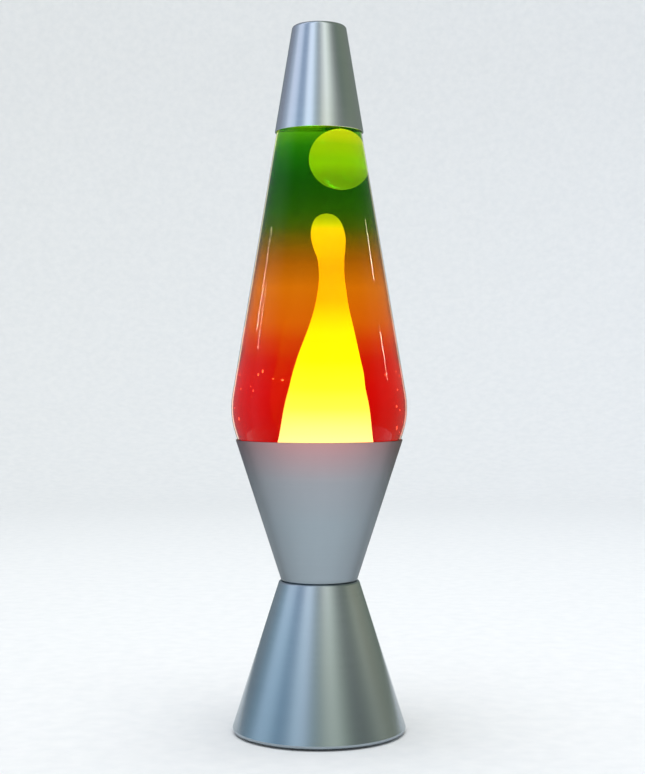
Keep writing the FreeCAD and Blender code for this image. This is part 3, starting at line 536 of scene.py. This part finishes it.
def make_bottle():
    """The glass globe, with its outer lacquer, wet inside and dry neck told apart."""
    shoulder, neck_foot = edge_z + 5.5 * MM, edge_z + 12.0 * MM
    bead_foot = edge_z + 20.6 * MM
    neck, bead, mouth = 12.4 * MM, 13.3 * MM, 9.4 * MM
    outline = soften([
        (0, foot_glass_z + PUNT_RISE, 0),
        (PUNT_RADIUS, foot_glass_z + PUNT_RISE, 5 * MM),
        (punt_ring, foot_glass_z, 1.5 * MM),
        (taper.radius(foot_glass_z), foot_glass_z, HEEL_ROUND),
        (taper.radius(belly_z), belly_z, BELLY_ROUND),
        (flank.radius(shoulder), shoulder, 4 * MM),
        (neck, neck_foot, 4 * MM),
        (neck, bead_foot, 0),
        (bead, bead_foot + 0.8 * MM, 0.4 * MM),
        (bead, mouth_z, 0.84 * MM),
        (mouth, mouth_z, 0.84 * MM),
        (mouth, neck_foot, 0),
        (flank.radius(shoulder - 1 * MM) - flank_wall, shoulder - 1 * MM, 2 * MM),
        (flank.radius(level_z) - flank_wall, level_z, 0),
        (taper.radius(belly_z) - flank_wall, belly_z, BELLY_ROUND - GLASS_WALL),
        (taper.radius(floor_z) - taper_wall, floor_z, HEEL_ROUND - GLASS_WALL),
        (punt_ring, floor_z, 1.5 * MM),
        (PUNT_RADIUS, floor_z + PUNT_RISE, 5 * MM),
        (0, floor_z + PUNT_RISE, 0),
    ])
    piece = lathe("glass_globe", outline, "globe", ["bottle"], 256)
    paint(piece, lacquered_glass(), clear_glass("wet_glass", 1.5 / 1.333), clear_glass("dry_glass", 1.5))
    for polygon in piece.data.polygons:
        centre, normal = polygon.center, polygon.normal
        outward = normal.x * centre.x + normal.y * centre.y
        inside_floor = normal.z > 0.3 and floor_z - 1 * MM < centre.z < floor_z + 6 * MM
        polygon.material_index = LACQUERED
        if outward < -1e-6 or inside_floor:
            if centre.z > floor_z - 0.1 * MM:
                polygon.material_index = WET if centre.z < level_z else DRY
        elif centre.z > edge_z + 1 * MM:
            polygon.material_index = DRY
    return piece


def make_liquid():
    """The liquid: a free surface with a small meniscus and a faint painted glow, and sides that lie unseen on
    the glass.
    """
    clear = 0.02 * MM
    side = flank.radius(level_z) - flank_wall - clear
    climb = 0.5 * MM
    outline = soften([
        (punt_ring, floor_z + clear, 0),
        (taper.radius(floor_z) - taper_wall - clear, floor_z + clear, HEEL_ROUND - GLASS_WALL),
        (taper.radius(belly_z) - flank_wall - clear, belly_z, BELLY_ROUND - GLASS_WALL),
        (side, level_z, 0),
        (side - climb * 0.5, level_z - climb * 0.55, 0),
        (side - climb * 1.4, level_z - climb * 0.9, 0),
        (side - climb * 3.0, level_z - climb, 0),
        (0, level_z - climb, 0),
        (0, floor_z + PUNT_RISE + clear, 0),
        (PUNT_RADIUS, floor_z + PUNT_RISE + clear, 5 * MM),
    ])
    piece = lathe("clear_liquid", outline, "globe", ["liquid"], 256)
    surface = clear_glass("liquid_surface", 1.333, 0.0)
    skin = surface.node_tree.nodes["Principled BSDF"]
    # Painted glow: the free surface emits a faint orange light.
    skin.inputs["Emission Color"].default_value = (1.0, 0.6, 0.05, 1)
    skin.inputs["Emission Strength"].default_value = 0.2
    paint(piece, unseen_side(), surface)
    for polygon in piece.data.polygons:
        if polygon.normal.z > 0.3 and polygon.center.z > level_z - 2 * climb:
            polygon.material_index = 1


# The rising wax, from the pool to the head: height, sideways shift and radius in millimetres.
WAX_RISE = [
    (126.0, 0.0, 26.6),
    (130.0, 0.2, 26.6),
    (136.0, 1.4, 23.4),
    (144.0, 2.2, 20.6),
    (152.0, 2.5, 19.2),
    (161.0, 2.7, 18.0),
    (169.0, 2.9, 16.9),
    (177.2, 3.1, 15.2),
    (185.6, 3.5, 13.9),
    (194.0, 3.7, 12.2),
    (202.3, 4.2, 10.4),
    (210.7, 4.7, 8.5),
    (219.1, 4.9, 6.8),
    (227.4, 5.0, 5.7),
    (235.8, 4.9, 5.0),
    (244.2, 4.6, 5.2),
    (248.4, 4.2, 5.9),
    (252.5, 3.8, 6.5),
    (256.5, 3.45, 6.75),
    (260.7, 3.2, 6.3),
    (264.3, 3.0, 5.3),
    (266.5, 2.9, 4.0),
    (267.9, 2.9, 2.3),
]


def smooth_between(values, share):
    """A smooth value between listed ones, by Catmull-Rom."""
    place = share * (len(values) - 1)
    index = min(int(place), len(values) - 2)
    t = place - index
    before, here, after = values[max(index - 1, 0)], values[index], values[index + 1]
    beyond = values[min(index + 2, len(values) - 1)]
    return 0.5 * (2 * here + (after - before) * t + (2 * before - 5 * here + 4 * after - beyond) * t * t
                  + (3 * here - before - 3 * after + beyond) * t * t * t)


def make_wax_column():
    """The pool and its rising column, with a slow wobble in its sides."""
    columns = list(zip(*WAX_RISE))
    steps, around = 150, 96
    rings = [[(0, 0, floor_z + PUNT_RISE + 0.2 * MM)]]
    for step in range(steps + 1):
        height, shift, radius = (smooth_between(column, step / steps) * MM for column in columns)
        ring = []
        for turn in range(around):
            angle = 2 * math.pi * turn / around
            wobble = 1 + 0.02 * noise.noise((math.cos(angle), math.sin(angle), height * 38))
            ring.append((shift + radius * wobble * math.cos(angle), radius * wobble * math.sin(angle), height))
        rings.append(ring)
    rings.append([(columns[1][-1] * MM, 0, wax_high.z - 0.1 * MM)])
    points, faces = ring_mesh(rings, closed=False)
    piece = new_piece("molten_wax", points, faces, "globe", ["wax_column"])
    paint(piece, glowing_wax("rising_wax", GLOW))


def egg(name, centre, across, up, body, replaced=(), wobble=0.0):
    """A rounded blob with a faint wobble."""
    rows, around = 48, 72
    rings = [[(centre.x, centre.y, centre.z - up)]]
    for row in range(1, rows):
        lean = math.pi * row / rows
        ring = []
        for turn in range(around):
            angle = 2 * math.pi * turn / around
            outward = math.sin(lean)
            reach = Vector((outward * math.cos(angle), outward * math.sin(angle), -math.cos(lean)))
            swell = 1 - wobble * (0.5 + 0.5 * noise.noise(reach * 1.3))
            ring.append((centre.x + across * swell * reach.x, centre.y + across * swell * reach.y,
                         centre.z + up * swell * reach.z))
        rings.append(ring)
    rings.append([(centre.x, centre.y, centre.z + up)])
    points, faces = ring_mesh(rings, closed=False)
    return new_piece(name, points, faces, body, replaced)


def make_wax_blob():
    centre = (blob_low + blob_high) / 2
    across, up = (blob_high.x - blob_low.x) / 2, (blob_high.z - blob_low.z) / 2
    piece = egg("floating_wax_blob", centre, across, up, "floating_wax", ["wax_blob"], 0.02)
    paint(piece, glowing_wax("floating_wax", BLOB_GLOW))


def make_specks():
    """Small beads of wax that cling inside the glass, low in the globe, with a painted glow."""
    chance = random.Random(11)
    mesh = bpy.data.meshes.new("clinging_specks")
    shape = bmesh.new()
    for _ in range(34):
        # None clings in front of the rising wax, on the camera's side.
        turn, height = chance.uniform(-0.8, math.pi + 0.8), (154 + 34 * chance.random() ** 1.6) * MM
        size = chance.uniform(0.18, 0.5) * MM
        inside = min(taper.radius(height), flank.radius(height)) - taper_wall - 1.9 * MM
        place = Matrix.Translation((inside * math.cos(turn), inside * math.sin(turn), height))
        squash = Matrix.Diagonal((size, size, size * chance.uniform(1.0, 2.4), 1))
        bmesh.ops.create_icosphere(shape, subdivisions=2, radius=1.0, matrix=place @ squash)
    shape.to_mesh(mesh)
    shape.free()
    specks = bpy.data.objects.new("clinging_specks", mesh)
    bpy.context.scene.collection.objects.link(specks)
    for polygon in mesh.polygons:
        polygon.use_smooth = True
    shader = Shader("speck_wax", Roughness=0.3)
    speckle = shader.noise(400)
    shader.join(shader.ramp(speckle, [(0.3, (0.9, 0.45, 0.3)), (0.7, (0.95, 0.6, 0.4))]), "Base Color")
    # Painted glow: the beads emit light, standing in for the lamp's light through them.
    shader.join(shader.ramp(speckle, [(0.3, (0.8, 0.9, 0.8)), (0.7, (0.9, 1.0, 0.9))]), "Emission Color")
    shader.surface.inputs["Emission Strength"].default_value = 2.5
    paint(specks, shader.material)
    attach(specks, "globe")


# ---------------------------------------------------------------- crown, bulb and holder


def make_crown():
    """Pressed crown closure with its ring of flutes."""
    flutes, per_flute, gauge = 21, 10, 0.3 * MM
    around = flutes * per_flute
    top_radius, foot_radius = 13.5 * MM, radius_at("crown_cap", crown_low.z + 0.3 * MM)
    top, foot = crown_high.z, crown_low.z
    profile = [(0.0, top), (top_radius - 1.6 * MM, top), (top_radius - 0.5 * MM, top - 0.25 * MM),
               (top_radius + 0.05 * MM, top - 1.0 * MM)]
    skirt = 8
    start_radius, start_z = profile[-1]
    for step in range(1, skirt + 1):
        share = step / skirt
        across = start_radius + (foot_radius - start_radius) * share
        profile.append((across, start_z + (foot - start_z) * share))
    for across, up in profile[:0:-1]:
        under = gauge if up > start_z - 1e-6 else 0
        profile.append((across - gauge, up - under))
    profile.append((0.0, top - gauge))
    rings = []
    for across, up in profile:
        if across == 0.0:
            rings.append([(0, 0, up)])
            continue
        depth = 0.45 * MM * max(0.0, min(1.0, (start_z - up) / (start_z - foot) * 1.4))
        ring = []
        for turn in range(around):
            angle = 2 * math.pi * turn / around
            reach = across - depth * (0.5 - 0.5 * math.cos(angle * flutes))
            ring.append((reach * math.cos(angle), reach * math.sin(angle), up))
        rings.append(ring)
    points, faces = ring_mesh(rings, closed=False)
    piece = new_piece("fluted_crown", points, faces, "globe", ["crown_cap"])
    paint(piece, small_metal("crown_tinplate", (0.78, 0.74, 0.66), 0.3))


def make_filament():
    """A finely coiled filament bent in a half ring between the lead wires."""
    ring_radius = (filament_high.x - filament_low.x) / 2 - 0.4 * MM
    centre_z = (filament_low.z + filament_high.z) / 2
    turns, per_turn, coil, wire = 46, 10, 0.3 * MM, 0.07 * MM
    rings = []
    for step in range(turns * per_turn + 1):
        share = step / (turns * per_turn)
        along, twist = -math.pi * share, 2 * math.pi * turns * share
        outward = Vector((math.cos(along), math.sin(along), 0))
        level = Vector((0, 0, centre_z + coil * math.sin(twist)))
        centre = outward * (ring_radius + coil * math.cos(twist)) + level
        lift = outward * math.cos(twist) + Vector((0, 0, math.sin(twist)))
        across = Vector((-math.sin(along), math.cos(along), 0))
        ring = []
        for corner in range(6):
            angle = math.pi * corner / 3
            ring.append(tuple(centre + (lift * math.cos(angle) + across * math.sin(angle)) * wire))
        rings.append(ring)
    rings = [[tuple(sum((Vector(point) for point in rings[0]), Vector()) / 6)]] + rings
    rings.append([tuple(sum((Vector(point) for point in rings[-1]), Vector()) / 6)])
    points, faces = ring_mesh(rings, closed=False)
    piece = new_piece("coiled_filament", points, faces, "bulb", ["bulb_filament"])
    shader = Shader("hot_tungsten", Metallic=1.0, Roughness=0.4)
    heat = shader.noise(300, 2)
    shader.join(shader.ramp(heat, [(0.2, (1.0, 0.62, 0.25)), (0.8, (1.0, 0.75, 0.4))]), "Emission Color")
    shader.surface.inputs["Emission Strength"].default_value = 30.0
    shader.join(shader.ramp(heat, [(0.2, (0.4, 0.38, 0.35)), (0.8, (0.5, 0.48, 0.45))]), "Base Color")
    paint(piece, shader.material)


def paint_small_parts():
    """Materials for the CAD pieces whose shapes stay as they are."""
    rubber = moulded("black_rubber_skin", (0.02, 0.02, 0.02), 0.7, 900, 0.2)
    phenolic = moulded("phenolic_moulding", (0.05, 0.032, 0.022), 0.38, 250, 0.1)
    brass = small_metal("pressed_brass", (0.78, 0.56, 0.24), 0.28)
    plated = small_metal("plated_steel", (0.66, 0.66, 0.64), 0.35)
    nickel = small_metal("bulb_nickel", (0.72, 0.7, 0.66), 0.25)
    bulb_glass = clear_glass("bulb_glass_skin", 1.45, 0.0)
    chosen = {
        "rubber_feet": rubber,
        "cord_grommet": rubber,
        "base_plate": moulded("black_plastic_skin", (0.018, 0.018, 0.018), 0.45, 700, 0.15),
        "lampholder_body": phenolic,
        "lampholder_ring": phenolic,
        "lampholder_end_cap": phenolic,
        "lampholder_washer": moulded("red_fibre", (0.32, 0.09, 0.045), 0.75, 400, 0.25),
        "lampholder_shell": brass,
        "lampholder_tongue": brass,
        "centre_terminal": brass,
        "shell_terminal": brass,
        "terminal_screws": plated,
        "heating_coil": plated,
        "bulb_screw_cap": nickel,
        "bulb_lead_wires": nickel,
        "bulb_support_wire": nickel,
        "bulb_tip": small_metal("solder_skin", (0.6, 0.6, 0.62), 0.3),
        "bulb_insulator": moulded("black_glass_skin", (0.012, 0.012, 0.015), 0.12, 300, 0.03),
        "bulb_envelope": bulb_glass,
        "bulb_stem": bulb_glass,
        "crown_liner": moulded("liner_skin", (0.7, 0.7, 0.66), 0.6, 500, 0.1),
    }
    for node, material in chosen.items():
        paint(node, material)


# ---------------------------------------------------------------- stage, lights and camera


def make_stage():
    """A pale floor that sweeps up all round into a pale wall. Only the floor shows in the metal."""
    reach, bend, height, floor_edge = 2.2, 0.8, 2.6, 0.5
    sweep = [(reach - bend, 0.0)]
    for step in range(1, 17):
        angle = math.pi / 2 * step / 16
        sweep.append((reach - bend + bend * math.sin(angle), bend - bend * math.cos(angle)))
    sweep.append((reach, height))
    shader = Shader("studio_paper", Roughness=0.85, Specular_IOR_Level=0.2)
    grain = shader.noise(90, 3)
    shader.join(shader.ramp(grain, [(0.3, (0.76, 0.765, 0.77)), (0.7, (0.8, 0.8, 0.8))]), "Base Color")
    profiles = {
        "studio_floor": [(0.0, 0.0), (floor_edge, 0.0)],
        "studio_wall": [(floor_edge, 0.0), *sweep],
    }
    for name, profile in profiles.items():
        rings = [turned_ring(across, up, 96) for across, up in profile]
        points, faces = ring_mesh(rings, closed=False)
        mesh = bpy.data.meshes.new(name)
        mesh.from_pydata(points, [], [face[::-1] for face in faces])
        for polygon in mesh.polygons:
            polygon.use_smooth = True
        piece = bpy.data.objects.new(name, mesh)
        bpy.context.scene.collection.objects.link(piece)
        piece.visible_glossy = name == "studio_floor"
        paint(piece, shader.material)


def soft_box(name, azimuth, elevation, distance, wide, tall, power, colour=(1, 1, 1)):
    """An area light facing the lamp; azimuth 0 is the camera's side and positive is to the right."""
    turn, rise = math.radians(azimuth), math.radians(elevation)
    towards = Vector((math.sin(turn) * math.cos(rise), -math.cos(turn) * math.cos(rise), math.sin(rise)))
    data = bpy.data.lights.new(name, "AREA")
    data.shape = "RECTANGLE"
    data.size, data.size_y = wide, tall
    data.energy = power
    data.color = colour
    light = bpy.data.objects.new(name, data)
    light.location = Vector((0, 0, 0.2)) + towards * distance
    light.rotation_euler = towards.to_track_quat("Z", "Y").to_euler()
    light.visible_camera = False
    light.visible_transmission = False
    bpy.context.scene.collection.objects.link(light)
    return light


# The studio's glow round the lamp, in linear light, by degrees of azimuth: 0 is the camera's side and
# positive is to the right. Soft bluish panels stand on the left, pale ones on the right. The cap mirrors
# the high panels and the lower cone mirrors the low ones.
PANELS_HIGH = [
    (-180, (0.20, 0.24, 0.24)),
    (-128, (0.26, 0.29, 0.36)),
    (-106, (0.37, 0.44, 0.55)),
    (-90, (0.73, 0.82, 1.00)),
    (-74, (0.66, 0.77, 0.97)),
    (-60, (0.27, 0.37, 0.52)),
    (-47, (0.32, 0.41, 0.57)),
    (-35, (0.92, 1.04, 1.22)),
    (-23, (0.88, 1.02, 1.19)),
    (-11, (0.43, 0.53, 0.61)),
    (0, (0.34, 0.38, 0.40)),
    (11, (0.66, 0.70, 0.70)),
    (23, (1.04, 1.11, 1.05)),
    (35, (0.74, 0.81, 0.74)),
    (47, (0.42, 0.46, 0.43)),
    (60, (0.22, 0.25, 0.23)),
    (76, (0.16, 0.20, 0.165)),
    (100, (0.19, 0.23, 0.18)),
    (145, (0.20, 0.23, 0.20)),
    (180, (0.20, 0.24, 0.24)),
]
PANELS_LOW = [
    (-180, (0.20, 0.24, 0.24)),
    (-128, (0.27, 0.33, 0.38)),
    (-106, (0.29, 0.43, 0.53)),
    (-90, (0.69, 0.90, 1.10)),
    (-74, (0.63, 0.86, 1.04)),
    (-60, (0.25, 0.40, 0.55)),
    (-47, (0.34, 0.49, 0.64)),
    (-35, (0.87, 1.08, 1.23)),
    (-23, (0.87, 1.03, 1.22)),
    (-11, (0.38, 0.48, 0.52)),
    (0, (0.36, 0.43, 0.38)),
    (11, (0.80, 0.83, 0.70)),
    (23, (0.94, 1.00, 0.84)),
    (35, (0.49, 0.54, 0.45)),
    (47, (0.26, 0.29, 0.25)),
    (60, (0.22, 0.235, 0.22)),
    (76, (0.30, 0.33, 0.28)),
    (90, (0.52, 0.54, 0.44)),
    (106, (0.38, 0.39, 0.30)),
    (128, (0.31, 0.34, 0.27)),
    (150, (0.20, 0.24, 0.20)),
    (180, (0.20, 0.24, 0.24)),
]


# Where the low panels give way to the high ones, as heights on a sphere of radius 1 round the lamp. The
# line between them dips by PANEL_DIP on the side away from the camera and rises by it on the near side.
LOW_PANELS_END, HIGH_PANELS_START, PANEL_DIP = 0.30, 0.36, 0.15


def make_world():
    """The glow that the metal mirrors: the low ring of panels, blending into the high ring above."""
    world = bpy.data.worlds.new("studio_glow")
    world.use_nodes = True
    world.cycles.sampling_method = "NONE"
    tree = world.node_tree
    background = tree.nodes["Background"]

    def add(kind, links=(), **settings):
        node = tree.nodes.new(kind)
        for name, value in settings.items():
            setattr(node, name, value)
        for index, value in enumerate(links):
            if isinstance(value, bpy.types.NodeSocket):
                tree.links.new(value, node.inputs[index])
            elif value is not None:
                node.inputs[index].default_value = value
        return node

    direction = add("ShaderNodeTexCoord").outputs["Generated"]
    split = add("ShaderNodeSeparateXYZ", [direction]).outputs
    towards_camera = add("ShaderNodeMath", [split["Y"], -1.0], operation="MULTIPLY").outputs[0]
    turn = add("ShaderNodeMath", [split["X"], towards_camera], operation="ARCTAN2").outputs[0]
    share = add("ShaderNodeMapRange", [turn, -math.pi, math.pi]).outputs[0]
    colours = []
    for stops in (PANELS_LOW, PANELS_HIGH):
        ramp = add("ShaderNodeValToRGB", [share])
        ramp.color_ramp.interpolation = "EASE"
        fill_ramp(ramp.color_ramp.elements, [((azimuth + 180) / 360, colour) for azimuth, colour in stops])
        colours.append(ramp.outputs["Color"])
    dip = add("ShaderNodeMath", [split["Y"], PANEL_DIP], operation="MULTIPLY").outputs[0]
    place = add("ShaderNodeMath", [split["Z"], dip], operation="ADD").outputs[0]
    rise = add("ShaderNodeMapRange", [place, LOW_PANELS_END, HIGH_PANELS_START]).outputs[0]
    both = add("ShaderNodeMix", data_type="RGBA")
    for socket, value in zip((0, 6, 7), (rise, *colours)):
        tree.links.new(value, both.inputs[socket])
    tree.links.new(both.outputs[2], background.inputs["Color"])
    bpy.context.scene.world = world


def make_lights(globe):
    """One large soft light overhead, and narrow ones that draw streaks and edges on the glass alone."""
    soft_box("overhead", 0, 90, 1.9, 2.0, 2.0, 42).visible_glossy = False
    glass_only = bpy.data.collections.new("glass_only")
    glass_only.objects.link(globe)
    for name, azimuth, elevation, wide, tall, power in (
        ("left_sliver", -108, 15.5, 0.012, 0.19, 0.5),
        ("left_short_sliver", -100, 14, 0.01, 0.12, 0.3),
        ("right_sliver", 107, 17.5, 0.014, 0.11, 0.4),
        ("right_low_sliver", 105, 11, 0.012, 0.1, 0.3),
        ("left_edge_glow", -158, 5, 0.3, 1.3, 1.8),
        ("right_edge_glow", 158, 5, 0.3, 1.3, 1.1),
    ):
        sliver = soft_box(name, azimuth, elevation, 1.6, wide, tall, power, (1, 0.88, 0.68))
        sliver.light_linking.receiver_collection = glass_only


CAMERA_PLACE = (0, -0.785, 0.1847)
CAMERA_LENS, CAMERA_SENSOR = 69.8, 36
CAMERA_TILT, CAMERA_TURN = -0.344, -0.126


def make_camera():
    """A camera level with the middle of the lamp, tilted and turned by less than half a degree."""
    data = bpy.data.cameras.new("camera")
    data.sensor_width = CAMERA_SENSOR
    data.lens = CAMERA_LENS
    camera = bpy.data.objects.new("camera", data)
    camera.location = CAMERA_PLACE
    camera.rotation_euler = (math.radians(90 + CAMERA_TILT), 0, math.radians(CAMERA_TURN))
    bpy.context.scene.collection.objects.link(camera)
    bpy.context.scene.camera = camera


make_stand()
make_cradle()
make_cap()
globe = make_bottle()
make_liquid()
make_wax_column()
make_wax_blob()
make_specks()
make_crown()
make_filament()
paint_small_parts()
make_stage()
make_world()
make_lights(globe)
make_camera()
bpy.context.scene.view_settings.view_transform = "Standard"
